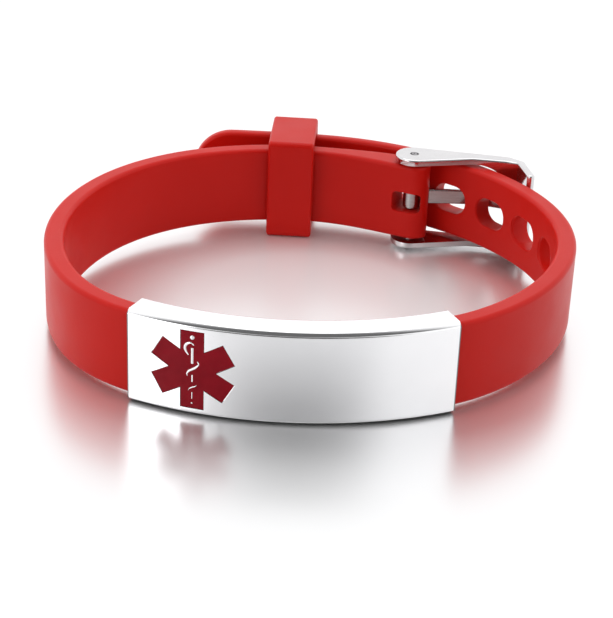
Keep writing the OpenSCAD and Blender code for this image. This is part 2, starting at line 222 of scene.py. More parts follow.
class Loop:
    """The strap's middle line in the loop's own plane, with the spring bar at the origin."""

    def __init__(self, strap, plate, buckle):
        self.strap, self.plate, self.buckle = strap, plate, buckle
        self.half = degrees(asin(plate.long / 2 / plate.radius))
        self.plate_mid = plate.radius - plate.proud - strap.thickness / 2
        lap = strap.thickness / 2 + strap.gap + strap.tail / 2
        rows = self.side(LEFT_BENDS, LAP_HEADING, 360 - self.half - LAP_HEADING)
        rows.append([self.plate_mid, 360 - self.half, 360 + self.half])
        rows += self.side(RIGHT_BENDS, 360 + self.half, LAP_HEADING + TAIL_FLARE - self.half)
        missing = lap * outward(LAP_HEADING)
        for row in rows:
            missing -= chord(*row)
        unset = [row for row in rows if row[0] == 0]
        first, second = (chord(1, row[1], row[2]) for row in unset)
        unset[0][0] = cross(missing, second) / cross(first, second)
        unset[1][0] = cross(first, missing) / cross(first, second)
        end = 360 + LAP_HEADING + TAIL_FLARE
        self.rows = [[strap.lug_run / radians(LUG_TURN), LAP_HEADING - LUG_TURN, LAP_HEADING]]
        self.rows += rows
        self.rows.append([strap.tail_bend, end, end + degrees(strap.tail_run / strap.tail_bend)])
        self.corners, self.lengths = [Vector((0, 0))], [0]
        for row in self.rows:
            self.corners.append(self.corners[-1] + chord(*row))
            self.lengths.append(self.lengths[-1] + row[0] * radians(row[2] - row[1]))
        self.total = self.lengths[-1]
        self.pinned = self.lengths[10] - strap.lug_run - strap.pinned
        self.thin_from = self.pinned + strap.hole_length / 2 + strap.edge
        self.thin_run = strap.hole_pitch - strap.hole_length + strap.edge
        self.lay_down()

    def side(self, bends, start, turn):
        rows, done = [], 0
        for share, radius in bends:
            rows.append([radius * self.strap.wrist, start + turn * done,
                         start + turn * (done + share)])
            done += share
        return rows

    def row_at(self, s):
        return max([i for i in range(len(self.rows)) if self.lengths[i] <= s or i == 0])

    def heading(self, s):
        i = self.row_at(s)
        return self.rows[i][1] + degrees((s - self.lengths[i]) / self.rows[i][0])

    def point(self, s):
        i = self.row_at(s)
        return self.corners[i] + chord(self.rows[i][0], self.rows[i][1], self.heading(s))

    def facing(self, h):
        for i, (r, start, end) in enumerate(self.rows[:-1]):
            if start <= h < end:
                return self.corners[i] + chord(r, start, h)

    def lay_down(self):
        """Works out how the loop lies: on the plate's front edge and the keeper's inner edge."""
        strap, plate = self.strap, self.plate
        self.keeper_height = strap.width + 2 * (strap.keeper_play + strap.keeper_wall)
        step = self.point(self.lengths[-2] + strap.keeper_place - strap.lug_run)
        step -= self.point(strap.keeper_place)
        self.keeper_in = -strap.thickness / 2 - strap.keeper_fit
        self.keeper_out = step.dot(outward(self.heading(strap.keeper_place)))
        self.keeper_out += strap.tail / 2 + strap.keeper_fit
        foot = self.facing(360).y - strap.thickness / 2 - plate.proud + plate.bevel
        back = self.point(strap.keeper_place).y
        keeper_foot = back + self.keeper_in - strap.keeper_wall
        tilt = atan((self.keeper_height - plate.height) / 2 / (keeper_foot - foot))
        lift = plate.height / 2 * cos(tilt) - foot * sin(tilt)
        left = self.facing(270).x - strap.thickness / 2
        right = self.facing(450).x + strap.thickness / 2
        front = (foot - plate.bevel) * cos(tilt) - (plate.height / 2 - plate.bevel) * sin(tilt)
        rear = (back + self.keeper_out + strap.keeper_wall) * cos(tilt)
        rear += self.keeper_height / 2 * sin(tilt)
        self.rest = Matrix.Translation((-(left + right) / 2, -(front + rear) / 2, lift))
        self.rest = self.rest @ Matrix.Rotation(tilt, 4, "X")

    def plate_centre(self):
        return self.facing(360) - self.plate_mid * outward(360)


def bracelet():
    scene = bpy.context.scene
    return Loop(scene.bracelet_strap, scene.bracelet_plate, scene.bracelet_buckle)


# Meshes.

def rounded_box(wide, high, corner, steps):
    """Corner points of a rounded rectangle, anticlockwise from its right side."""
    points = []
    for quarter in range(4):
        sx = 1 if quarter in (0, 3) else -1
        sy = 1 if quarter < 2 else -1
        for k in range(steps + 1):
            a = radians(90 * quarter + 90 * k / steps)
            points.append(Vector((sx * (wide / 2 - corner) + corner * cos(a),
                                  sy * (high / 2 - corner) + corner * sin(a))))
    return points


def skin(rings, closed=False):
    """Vertices and faces of a skin over rings of points, which run from one end to the other."""
    n, faces = len(rings[0]), []
    count = len(rings)
    for i in range(count if closed else count - 1):
        a, b = i * n, (i + 1) % count * n
        faces += [(a + j, b + j, b + (j + 1) % n, a + (j + 1) % n) for j in range(n)]
    if not closed:
        faces += [tuple(range(n)), tuple(reversed(range((count - 1) * n, count * n)))]
    return [p for ring in rings for p in ring], faces


def new_mesh(name, parts, rest=None):
    """One mesh from several (vertices, faces), outward normals recalculated."""
    bm = bmesh.new()
    for vertices, faces in parts:
        made = [bm.verts.new(v) for v in vertices]
        for face in faces:
            bm.faces.new([made[i] for i in face])
    bmesh.ops.recalc_face_normals(bm, faces=bm.faces)
    mesh = bpy.data.meshes.new(name)
    bm.to_mesh(mesh)
    bm.free()
    if rest is not None:
        mesh.transform(rest)
    obj = bpy.data.objects.new(name, mesh)
    bpy.context.scene.collection.objects.link(obj)
    return obj


def add_to(obj, other):
    """Adds other's mesh to obj's as it is, and drops other."""
    both = bmesh.new()
    both.from_mesh(obj.data)
    both.from_mesh(other.data)
    both.to_mesh(obj.data)
    both.free()
    bpy.data.objects.remove(other)


def shape_with(obj, tool, how="DIFFERENCE"):
    """Cuts obj with tool, or keeps what both share, and drops the tool."""
    change = obj.modifiers.new("shape", "BOOLEAN")
    change.operation, change.solver, change.object = how, "EXACT", tool
    settle(obj)
    bpy.data.objects.remove(tool)


def settle(obj):
    """Bakes an object's modifiers into its mesh."""
    graph = bpy.context.evaluated_depsgraph_get()
    mesh = bpy.data.meshes.new_from_object(obj.evaluated_get(graph))
    obj.modifiers.clear()
    obj.data = mesh


def finish_piece(obj, material, node, crease):
    """Smooth shading with crisp edges, the material, and the CAD node that the piece shows."""
    mesh = obj.data
    mesh.polygons.foreach_set("use_smooth", [True] * len(mesh.polygons))
    mesh.set_sharp_from_angle(angle=radians(crease))
    mesh.materials.clear()
    mesh.materials.append(material)
    soften = obj.modifiers.new("even normals", "WEIGHTED_NORMAL")
    soften.keep_sharp, soften.weight = True, 60
    settle(obj)
    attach(obj, "root")
    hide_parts(node)


def swing(start, end):
    return (end - start + 180) % 360 - 180


def arc(centre, r, start, turn):
    n = max(1, ceil(turn / 6))
    return [centre + r * along(start + turn * i / n) for i in range(n + 1)]


def corner(centre, r, start, end):
    turn = swing(start, end)
    if turn > 1:
        return arc(centre, r, start, turn)
    return [centre + r / cos(radians(turn / 2)) * along(start + turn / 2)]


def outline(centres, radii):
    """The outline round a chain of discs, up its right side and back down its left."""
    last = len(centres) - 1
    right, left = [], []
    for i in range(last):
        step = centres[i + 1] - centres[i]
        lean = degrees(acos((radii[i] - radii[i + 1]) / step.length))
        way = degrees(atan2(step.y, step.x))
        right.append(way - lean)
        left.append(way + lean)
    points = arc(centres[0], radii[0], left[0], 360 - (left[0] - right[0]))
    for i in range(1, last):
        points += corner(centres[i], radii[i], right[i - 1], right[i])
    points += arc(centres[last], radii[last], right[-1], left[-1] - right[-1])
    for i in range(last - 1, 0, -1):
        points += corner(centres[i], radii[i], left[i], left[i - 1])
    return points


def pillow(centres, radii, low, high, rounding, steps=4):
    """A flat piece of that outline between two heights, with rounded edges."""
    rings = []
    for height, way in ((low, 1), (high, -1)):
        turns = range(steps + 1) if way > 0 else range(steps, -1, -1)
        for k in turns:
            a = radians(90 * k / steps)
            inset = rounding * (1 - sin(a))
            z = height + way * rounding * (1 - cos(a))
            flat = outline(centres, [r - inset for r in radii])
            rings.append([Vector((p.x, p.y, z)) for p in flat])
    return skin(rings)


def round_point(r, z, k, count):
    return Vector((r * cos(2 * pi * k / count), r * sin(2 * pi * k / count), z))


def lathe(profile, count=40):
    """A turned piece about Z from (radius, height) pairs, closed at both ends."""
    return skin([[round_point(r, z, k, count) for k in range(count)] for r, z in profile])


def bore_cutter(r):
    """A round cutter along the spring bar, longer than the buckle."""
    return new_mesh("cutter", [lathe([(r, -FAR), (r, FAR)])])


# Materials.

class Shader:
    """Small helper that builds a material's nodes in reading order."""

    def __init__(self, name):
        self.material = bpy.data.materials.new(name)
        self.material.use_nodes = True
        self.tree = self.material.node_tree
        self.body = self.tree.nodes["Principled BSDF"]
        self.place = self.node("ShaderNodeTexCoord").outputs["Object"]

    def node(self, kind, **inputs):
        made = self.tree.nodes.new(kind)
        for key, value in inputs.items():
            self.feed(made.inputs[key.replace("_", " ")], value)
        return made

    def feed(self, socket, value):
        if isinstance(value, bpy.types.NodeSocket):
            self.tree.links.new(value, socket)
        else:
            socket.default_value = value

    def set(self, **inputs):
        for key, value in inputs.items():
            self.feed(self.body.inputs[key.replace("_", " ")], value)

    def noise(self, scale, detail=4, stretch=None):
        where = self.place
        if stretch:
            mapping = self.node("ShaderNodeMapping", Vector=where)
            mapping.inputs["Scale"].default_value = stretch
            where = mapping.outputs["Vector"]
        made = self.node("ShaderNodeTexNoise", Vector=where, Scale=scale, Detail=detail)
        return made.outputs["Fac"]

    def spread(self, value, low, high, start=0.3, end=0.7):
        """The value from start to end, stretched from low to high."""
        made = self.node("ShaderNodeMapRange", Value=value)
        made.inputs["From Min"].default_value = start
        made.inputs["From Max"].default_value = end
        made.inputs["To Min"].default_value = low
        made.inputs["To Max"].default_value = high
        return made.outputs["Result"]

    def math(self, operation, first, second=0):
        made = self.tree.nodes.new("ShaderNodeMath")
        made.operation = operation
        self.feed(made.inputs[0], first)
        self.feed(made.inputs[1], second)
        return made.outputs[0]

    def blend(self, factor, first, second):
        """Two colours mixed by a factor. The first may be another blend."""
        made = self.tree.nodes.new("ShaderNodeMix")
        made.data_type = "RGBA"
        self.feed(made.inputs[0], factor)
        self.feed(made.inputs[6], first if hasattr(first, "node") else (*first, 1))
        self.feed(made.inputs[7], (*second, 1))
        return made.outputs[2]

    def clouded(self, factor, tint, shade):
        """A colour that darkens to a share of itself where the factor is high."""
        return self.blend(self.spread(factor, 0, 1), tint, tuple(shade * c for c in tint))

    def bump(self, height, distance, strength=1.0, below=None):
        made = self.node("ShaderNodeBump", Height=height, Distance=distance, Strength=strength)
        if below is not None:
            self.tree.links.new(below, made.inputs["Normal"])
        return made.outputs["Normal"]


def material(name, build):
    found = bpy.data.materials.get(name)
    return found or build(name)


def silicone(name):
    look = Shader(name)
    strap = bpy.context.scene.bracelet_strap
    cloud = look.noise(45, 3)
    grain = look.noise(5200, 3)
    skin_bump = look.bump(look.noise(650, 4), 0.00003, 0.35)
    look.set(Base_Color=look.blend(look.spread(cloud, 0, 1), strap.red, strap.red_worn),
             Roughness=look.spread(look.noise(160, 4), 0.34, 0.44),
             Normal=look.bump(grain, 0.000012, 0.5, skin_bump))
    look.set(Subsurface_Weight=0.12, Subsurface_Scale=0.0016, Sheen_Weight=0.01,
             Sheen_Roughness=0.45, Specular_IOR_Level=0.17)
    look.body.inputs["Subsurface Radius"].default_value = (1.0, 0.12, 0.08)
    look.body.inputs["Sheen Tint"].default_value = (1.0, 0.75, 0.72, 1)
    return look.material


def plate_steel(name):
    """Polished steel, with painted shade: a dark line along the lower edge by the floor and at each
    end.
    """
    look = Shader(name)
    lines = look.noise(260, 5, (0.6, 0.6, 34))
    haze = look.noise(120, 4)
    tint = bpy.context.scene.bracelet_plate.steel
    polish = look.clouded(haze, tint, 0.96)
    loop = bracelet()
    middle = (loop.rest @ loop.plate_centre().to_3d()).x
    where = look.node("ShaderNodeSeparateXYZ", Vector=look.place).outputs
    sideways = look.math("ABSOLUTE", look.math("SUBTRACT", where["X"], middle))
    end = loop.plate.long / 2
    # Painted shade: the plate's ends and its lower edge go dark, in place of the contact shadow and the
    # dark edge lines.
    cut = look.spread(sideways, 0, 1, end - 0.17 * MM, end - 0.09 * MM)
    painted_edge_shade = look.math("MAXIMUM", cut, look.spread(where["Z"], 1, 0, 0.26 * MM, 0.46 * MM))
    look.set(Base_Color=look.blend(painted_edge_shade, polish, tuple(0.16 * c for c in tint)),
             Roughness=look.spread(haze, 0.07, 0.12),
             Normal=look.bump(lines, 0.0000015, 0.25))
    look.set(Metallic=1.0)
    return look.material


def buckle_steel(name):
    look = Shader(name)
    cloud = look.noise(330, 4)
    tint = bpy.context.scene.bracelet_buckle.steel
    look.set(Base_Color=look.clouded(cloud, tint, 0.93),
             Roughness=look.spread(cloud, 0.08, 0.15),
             Normal=look.bump(look.noise(900, 4), 0.000004, 0.35))
    look.set(Metallic=1.0)
    return look.material


def shaded_tang_steel(name):
    # Brushed steel, its colour darkened as painted shade for the tang's darker reflection.
    look = Shader(name)
    brushed = look.noise(900, 4, (1, 1, 9))
    tint = bpy.context.scene.bracelet_buckle.shaded_tang_steel
    look.set(Base_Color=look.clouded(brushed, tint, 0.88),
             Roughness=look.spread(brushed, 0.16, 0.26),
             Normal=look.bump(brushed, 0.000004, 0.4))
    look.set(Metallic=1.0)
    return look.material


def red_enamel(name):
    look = Shader(name)
    deep = bpy.context.scene.bracelet_plate.enamel
    cloud = look.noise(420, 4)
    look.set(Base_Color=look.clouded(cloud, deep, 0.8),
             Roughness=look.spread(cloud, 0.18, 0.26),
             Normal=look.bump(look.noise(700, 2), 0.00001, 0.35))
    look.set(Specular_IOR_Level=0.09)
    return look.material


def pale_floor(name):
    """A floor that mirrors most beside the bracelet, and less further off."""
    look = Shader(name)
    stage = bpy.context.scene.bracelet_stage
    look.set(Base_Color=look.clouded(look.noise(6, 3), stage.floor, 0.985), Roughness=stage.gloss)
    ring = look.node("ShaderNodeMapping", Vector=look.place)
    ring.inputs["Scale"].default_value = (1 / RING[0], 1 / RING[1], 0)
    reach = look.tree.nodes.new("ShaderNodeVectorMath")
    reach.operation = "LENGTH"
    look.feed(reach.inputs[0], ring.outputs["Vector"])
    outside = look.math("SUBTRACT", reach.outputs["Value"], 1)
    away = look.math("MAXIMUM", outside, look.math("MULTIPLY", outside, -1.5))
    look.set(IOR=1.5, Metallic=look.spread(away, stage.mirror, stage.far_mirror, 0.18, 0.72))
    return look.material


# Operators.

class BRACELET_OT_strap(Operator):
    """Sweep the silicone strap along its line and cut its holes"""
    bl_idname = "bracelet.strap"
    bl_label = "Strap"

    def thickness(self, loop, s):
        strap = loop.strap
        past = -s - strap.lug_end
        if past > 0:
            return strap.lug * sqrt(1 - (2 * past / strap.lug) ** 2)
        swell = (strap.lug - strap.thickness) * (1 - ease(s / strap.lug_run))
        thin = (strap.tail - strap.thickness) * ease((s - loop.thin_from) / loop.thin_run)
        return strap.thickness + swell + thin

    def ring(self, loop, s):
        strap, left = loop.strap, loop.total - s
        wide = self.thickness(loop, s)
        high = strap.width
        if left < strap.width / 2:
            high = 2 * sqrt(left * (strap.width - left))
        corner_r = min(strap.edge, wide * 0.4, high * 0.4)
        o, n = loop.point(s), outward(loop.heading(s))
        return [Vector((o.x + p.x * n.x, o.y + p.x * n.y, p.y))
                for p in rounded_box(wide, high, corner_r, 6)]

    def body(self, loop):
        strap = loop.strap
        end = loop.total - strap.width / 2
        steps = 380
        places = [-strap.lug_end - strap.lug / 2 * sin(radians(a)) for a in range(86, 0, -5)]
        places += [end * i / steps for i in range(steps + 1)]
        places += [loop.total - strap.width / 2 * (1 - sin(radians(a))) for a in range(4, 88, 4)]
        return new_mesh("silicone_strap", [skin([self.ring(loop, s) for s in places])])

    def hole(self, loop, s, long, high, corner_r):
        """A cutter with flared rims, so that a hole's edge is softly rounded."""
        o, h = loop.point(s), loop.heading(s)
        n, t = outward(h), along(h)
        face = self.thickness(loop, s) / 2
        half = [(3 * MM, 2.6 * RIM), (face + 0.4 * RIM, 1.4 * RIM),
                (face - 0.42 * RIM, 0.42 * RIM), (face - 1.35 * RIM, 0)]
        rings = []
        for d, flare in [(-depth, flare) for depth, flare in half] + half[::-1]:
            flat = rounded_box(long + 2 * flare, high + 2 * flare, corner_r + flare, 8)
            rings.append([Vector((o.x + d * n.x + p.x * t.x, o.y + d * n.y + p.x * t.y, p.y))
                          for p in flat])
        return new_mesh("cutter", [skin(rings)])

    def execute(self, context):
        loop = bracelet()
        strap, buckle = loop.strap, loop.buckle
        obj = self.body(loop)
        for i in range(-strap.free_holes, strap.tail_holes + 1):
            s = loop.pinned + i * strap.hole_pitch
            shape_with(obj, self.hole(loop, s, strap.hole_length, strap.hole_height,
                                      strap.hole_corner))
        end = strap.lug_end + strap.lug / 2 - strap.lug_wall
        window = end + buckle.tang_width
        shape_with(obj, self.hole(loop, window / 2 - end, window,
                                  buckle.barrel + 2 * buckle.window_fit, strap.edge))
        shape_with(obj, bore_cutter(buckle.pin + buckle.pin_fit))
        obj.data.transform(loop.rest)
        finish_piece(obj, material("red_silicone", silicone), "strap", 38)
        return {"FINISHED"}


class BRACELET_OT_keeper(Operator):
    """Mould the keeper: a closed band with softly rounded edges"""
    bl_idname = "bracelet.keeper"
    bl_label = "Keeper"

    def execute(self, context):
        loop = bracelet()
        strap = loop.strap
        wall, s = strap.keeper_wall, strap.keeper_place
        deep = loop.keeper_out - loop.keeper_in + wall
        high = loop.keeper_height - wall
        rings = []
        for q in rounded_box(wall, strap.keeper_width, 0.4 * MM, 5):
            round_it = wall * 0.375 + q.x / 4
            rings.append([Vector((p.x, q.y, p.y))
                          for p in rounded_box(deep + 2 * q.x, high + 2 * q.x, round_it, 8)])
        obj = new_mesh("silicone_keeper", [skin(rings, closed=True)])
        o = loop.point(s)
        place = Matrix.Translation((o.x, o.y, 0))
        place = place @ Matrix.Rotation(radians(loop.heading(s) - 93), 4, "Z")
        place = place @ Matrix.Translation(((loop.keeper_in + loop.keeper_out) / 2, 0, 0))
        obj.data.transform(loop.rest @ place)
        finish_piece(obj, material("red_silicone", silicone), "keeper", 60)
        return {"FINISHED"}


# The staff's stretches, (low, high, width), and the snake's bends, (width, places), in tenths of
# the star's height about its middle. A width is a share of the staff's.
STAFF = ((0.85, 2.85, 0.85), (-1.5, -0.6, 0.55), (-3.7, -2.85, 0.38))
SNAKE = ((0.95, ((0.22, 3.22), (-0.2, 3.45), (-0.7, 3.2), (-0.88, 2.7), (-0.7, 2.2), (-0.42, 1.9))),
         (0.8, ((0.62, 1.2), (0.76, 0.85), (0.5, 0.45), (0.05, 0.1), (-0.4, -0.2), (-0.62, -0.55),
                (-0.55, -0.8))),
         (0.5, ((0.58, -1.8), (0.4, -2.05), (0, -2.25), (-0.3, -2.45), (-0.45, -2.65))))


def smooth_line(points, steps=8):
    """A smooth line through the points."""
    line = []
    for i in range(len(points) - 1):
        a, b = points[max(i - 1, 0)], points[i]
        c, d = points[i + 1], points[min(i + 2, len(points) - 1)]
        for k in range(steps):
            u = k / steps
            line.append(0.5 * (2 * b + (c - a) * u + (2 * a - 5 * b + 4 * c - d) * u ** 2
                               + (3 * b - a - 3 * c + d) * u ** 3))
    return line + [points[-1]]


def face_steps(loop):
    """Directions from the plate's centre of curvature, from its left end to its right."""
    return [outward(360 - loop.half + 2 * loop.half * k / FACE_STEPS) for k in range(FACE_STEPS + 1)]


class StarMaker:
    """What the plate and the enamel share: the star's place and outline on the curved face."""

    def shell(self, loop, low, high, name):
        """A slice of the plate's curve between two radii, finely divided."""
        c = loop.plate_centre()
        rings = []
        for d in face_steps(loop):
            rings.append([Vector((c.x + r * d.x, c.y + r * d.y, z))
                          for r, z in ((low, -7 * MM), (high, -7 * MM), (high, 7 * MM), (low, 7 * MM))])
        return new_mesh(name, [skin(rings)])

    def star_heading(self, loop):
        return 360 - loop.half + degrees(loop.plate.star_inset / loop.plate.radius)

    def star_prism(self, loop, inset):
        """The six-armed star as a block through the face. Its corners go round by arm."""
        plate = loop.plate
        half, reach = plate.star_bar / 2 - inset, plate.star / 2 - inset
        notch = half / sin(radians(30))
        flat = []
        for arm in range(6):
            a = 90 + 60 * arm
            flat.append(notch * along(a - 30))
            flat += [reach * along(a) + side * half * along(a + 90) for side in (-1, 1)]
        heading = self.star_heading(loop)
        c, n, t = loop.plate_centre(), outward(heading), along(heading)
        rings = []
        for depth in (-2 * MM, 2 * MM):
            r = plate.radius + depth
            rings.append([Vector((c.x + r * n.x + p.x * t.x, c.y + r * n.y + p.x * t.y, p.y))
                          for p in flat])
        return new_mesh("cutter", [skin(rings)])

    def on_face(self, loop, p, depth):
        """A point of the star's flat drawing on the curved face, at a depth below it."""
        r = loop.plate.radius - depth
        heading = self.star_heading(loop) + degrees(asin(p.x / r))
        c = loop.plate_centre() + r * outward(heading)
        return Vector((c.x, c.y, p.y))


class BRACELET_OT_plate(StarMaker, Operator):
    """Bend the name plate from its channel section, and raise the staff and snake in the star"""
    bl_idname = "bracelet.plate"
    bl_label = "Name plate"

    def section(self, loop):
        """The folded channel's section, (radius, height), with softened corners."""
        plate, strap = loop.plate, loop.strap
        back = plate.radius - plate.proud - strap.thickness - plate.lip_proud
        inner = loop.plate_mid - strap.thickness / 2 - plate.fit
        outer = loop.plate_mid + strap.thickness / 2 + plate.fit
        top, slot = plate.height / 2, strap.width / 2 + plate.fit
        lip = top - plate.lip
        half = [(outer, slot, 0.1), (inner, slot, 0.1), (inner, lip, 0.08), (back, lip, 0.15),
                (back, top, 0.42), (plate.radius - plate.bevel, top, 0.16),
                (plate.radius, top - plate.bevel, 0.16)]
        corners = half + [(r, -z, soft) for r, z, soft in reversed(half)]
        points = []
        for i, (r, z, soft) in enumerate(corners):
            here = Vector((r, z))
            before = Vector(corners[i - 1][:2]) - here
            after = Vector(corners[(i + 1) % len(corners)][:2]) - here
            reach = min(soft * MM, before.length * 0.45, after.length * 0.45)
            a, b = here + before.normalized() * reach, here + after.normalized() * reach
            for k in range(5):
                u = k / 4
                points.append(a * (1 - u) ** 2 + here * 2 * u * (1 - u) + b * u * u)
        return points

    def line(self, loop, points, wide, tip=1):
        """A raised line along points of the star's drawing, with a softly rounded top. Its ends
        are as wide as tip says, as a share of its middle."""
        plate = loop.plate
        rings = []
        shape = [(-0.5, plate.star_depth + 0.05 * MM), (-0.5, 0.07 * MM), (-0.36, 0.01 * MM),
                 (-0.14, -0.03 * MM), (0.14, -0.03 * MM), (0.36, 0.01 * MM), (0.5, 0.07 * MM),
                 (0.5, plate.star_depth + 0.05 * MM)]
        places = list(points)
        for i, p in enumerate(places):
            before = places[max(i - 1, 0)]
            after = places[min(i + 1, len(places) - 1)]
            way = (after - before).normalized()
            side = Vector((-way.y, way.x))
            here = wide * (tip + (1 - tip) * sin(pi * i / (len(places) - 1)))
            rings.append([self.on_face(loop, p + side * here * q, depth) for q, depth in shape])
        return skin(rings)

    def dot(self, loop, centre, r):
        rings = []
        for share, depth in ((1, loop.plate.star_depth + 0.05 * MM), (1, 0.06 * MM), (0.85, 0),
                             (0.5, -0.03 * MM), (0.05, -0.04 * MM)):
            rings.append([self.on_face(loop, centre + r * share * along(15 * k), depth)
                          for k in range(24)])
        return skin(rings)

    def figure(self, loop):
        """Staff and snake, finer towards the foot, with tapering ends to the snake."""
        unit, staff = loop.plate.star / 10, loop.plate.staff
        parts = [self.dot(loop, Vector((0, 4.15)) * unit, 0.28 * unit),
                 self.dot(loop, Vector((0, -4.3)) * unit, 0.12 * unit)]
        for low, high, share in STAFF:
            tall = [Vector((0, low + (high - low) * k / 8)) * unit for k in range(9)]
            parts.append(self.line(loop, tall, staff * share))
        for share, places in SNAKE:
            bend = smooth_line([Vector(place) * unit for place in places])
            parts.append(self.line(loop, bend, staff * share, SNAKE_TIP))
        return parts

    def execute(self, context):
        loop = bracelet()
        plate = loop.plate
        c, section = loop.plate_centre(), self.section(loop)
        rings = []
        for d in face_steps(loop):
            rings.append([Vector((c.x + p.x * d.x, c.y + p.x * d.y, p.y)) for p in section])
        obj = new_mesh("steel_name_plate", [skin(rings)])
        field = self.shell(loop, plate.radius - plate.star_depth, plate.radius + MM, "cutter")
        shape_with(field, self.star_prism(loop, 0), "INTERSECT")
        shape_with(obj, field)
        add_to(obj, new_mesh("raised", self.figure(loop)))
        obj.data.transform(loop.rest)
        finish_piece(obj, material("polished_plate", plate_steel), "id_plate", 30)
        return {"FINISHED"}


class BRACELET_OT_star(StarMaker, Operator):
    """Fill the star's field with red enamel, just below the plate's face"""
    bl_idname = "bracelet.star"
    bl_label = "Enamel star"

    def execute(self, context):
        loop = bracelet()
        plate = loop.plate
        obj = self.shell(loop, plate.radius - plate.star_depth + 0.03 * MM,
                         plate.radius - 0.04 * MM, "red_enamel_star")
        shape_with(obj, self.star_prism(loop, ENAMEL_GAP), "INTERSECT")
        obj.data.transform(loop.rest)
        finish_piece(obj, material("red_enamel", red_enamel), "enamel_star", 30)
        return {"FINISHED"}


def buckle_places(loop):
    """Where the crossbar and the bends of the arms lie, seen from above."""
    strap, buckle = loop.strap, loop.buckle
    s = loop.pinned - buckle.bar_run
    heading = loop.heading(s) - BAR_LEAN
    clear = strap.thickness / 2 + buckle.bar_fit + buckle.bar / 2
    bar_in = loop.point(s) + clear * outward(loop.heading(s))
    bar_out = bar_in + (buckle.bar_width - buckle.bar) * along(heading)
    side = Vector((-bar_out.y, bar_out.x)) / bar_out.length
    middle = bar_out * ARM_MIDDLE + buckle.bow * side
    end = bar_out * ARM_END + buckle.bow * END_BOW * side
    return bar_in, bar_out, middle, end, heading


def tang_route(loop):
    """The tang's middle line: from its barrel out through the pinned hole and on to the crossbar."""
    strap, buckle = loop.strap, loop.buckle
    _, bar_out, _, _, heading = buckle_places(loop)
    over_lug = strap.lug / 2 + buckle.tang / 2 + buckle.tang_fit
    over_bar = buckle.bar / 2 + buckle.tang / 2 + buckle.tang_fit
    start = buckle.pin + buckle.barrel_wall - buckle.tang / 2
    lug_tip = -strap.lug_end * along(loop.rows[0][1])
    hole = loop.point(loop.pinned)
    route = [start * outward(loop.rows[0][1]), lug_tip + 0.82 * over_lug * along(60),
             lug_tip + over_lug * along(27), hole, hole + Vector((1.4 * buckle.tang_width, 0))]
    route += [bar_out + over_bar * along(heading - a) for a in range(20, 49, 14)]
    return route


class BRACELET_OT_buckle(Operator):
    """Cast the buckle's frame: two arms with round ends, joined by the crossbar"""
    bl_idname = "bracelet.buckle"
    bl_label = "Buckle frame"

    def execute(self, context):
        loop = bracelet()
        buckle = loop.buckle
        bar_in, bar_out, middle, end, _ = buckle_places(loop)
        inside = loop.strap.width / 2 + buckle.arm_fit
        half = buckle.bar / 2
        places = [Vector((0, 0)), middle, end, bar_out, bar_in]
        radii = [buckle.lobe, buckle.middle, buckle.middle * END_WIDTH, half, half]
        high = inside + buckle.arm
        obj = new_mesh("steel_buckle_frame", [pillow(places, radii, -high, high, buckle.rounding)])
        reach = bar_out.length - BAR_SHARE * buckle.bar
        long = reach + buckle.lobe + 2 * buckle.corner
        flat = rounded_box(long, 2 * inside, buckle.corner, 16)
        across = 2 * buckle.lobe
        opening = [[Vector((p.x + reach - long / 2, side, p.y)) for p in flat]
                   for side in (-across, across)]
        turn = Matrix.Rotation(atan2(bar_out.y, bar_out.x), 4, "Z")
        shape_with(obj, new_mesh("cutter", [skin(opening)], turn))
        fit = NOTCH_SHARE * buckle.tang_fit
        route, half = tang_route(loop), buckle.tang_width / 2 + fit
        notch = pillow(route, [buckle.tang / 2 + fit] * len(route), -half, half, fit)
        shape_with(obj, new_mesh("cutter", [notch]))
        shape_with(obj, bore_cutter(buckle.pin * TIP_SHARE + buckle.pin_fit))
        obj.data.transform(loop.rest)
        finish_piece(obj, material("polished_buckle", buckle_steel),
                     "buckle_frame", 40)
        return {"FINISHED"}


class BRACELET_OT_pin(Operator):
    """Turn the spring bar and form the tang that hangs on it"""
    bl_idname = "bracelet.pin"
    bl_label = "Spring bar and tang"

    def spring_bar(self, loop):
        buckle = loop.buckle
        body = loop.strap.width / 2 + buckle.arm_fit - buckle.pin_fit
        tip = body + 0.7 * buckle.arm
        r, thin = buckle.pin, buckle.pin * TIP_SHARE
        half = [(r, 0.2 * body), (r, body - 0.15 * MM), (r - 0.12 * MM, body), (thin, body),
                (thin, tip - 0.16 * MM), (thin - 0.1 * MM, tip - 0.04 * MM), (thin - 0.28 * MM, tip)]
        profile = [(a, -z) for a, z in reversed(half)] + half
        obj = new_mesh("steel_spring_bar", [lathe(profile)], loop.rest)
        finish_piece(obj, material("polished_buckle", buckle_steel),
                     "spring_bar", 40)

    def tang(self, loop):
        buckle, route = loop.buckle, tang_route(loop)
        barrel = buckle.pin + buckle.barrel_wall
        half = buckle.tang_width / 2
        parts = [pillow(route, [buckle.tang / 2] * len(route), -half, half, 0.22 * MM)]
        bore, tall = buckle.pin + buckle.pin_fit, buckle.barrel / 2
        turned = [(bore, -tall + 0.05 * MM), (bore + 0.1 * MM, -tall), (barrel - 0.2 * MM, -tall),
                  (barrel, -tall + 0.2 * MM), (barrel, tall - 0.2 * MM), (barrel - 0.2 * MM, tall),
                  (bore + 0.1 * MM, tall), (bore, tall - 0.05 * MM)]
        rings = [[round_point(r, z, k, 48) for r, z in turned] for k in range(48)]
        obj = new_mesh("steel_tang", parts)
        shape_with(obj, bore_cutter(bore))
        add_to(obj, new_mesh("curl", [skin(rings, closed=True)]))
        obj.data.transform(loop.rest)
        finish_piece(obj, material("shaded_brushed_tang", shaded_tang_steel), "tang", 40)

    def execute(self, context):
        loop = bracelet()
        self.spring_bar(loop)
        self.tang(loop)
        return {"FINISHED"}


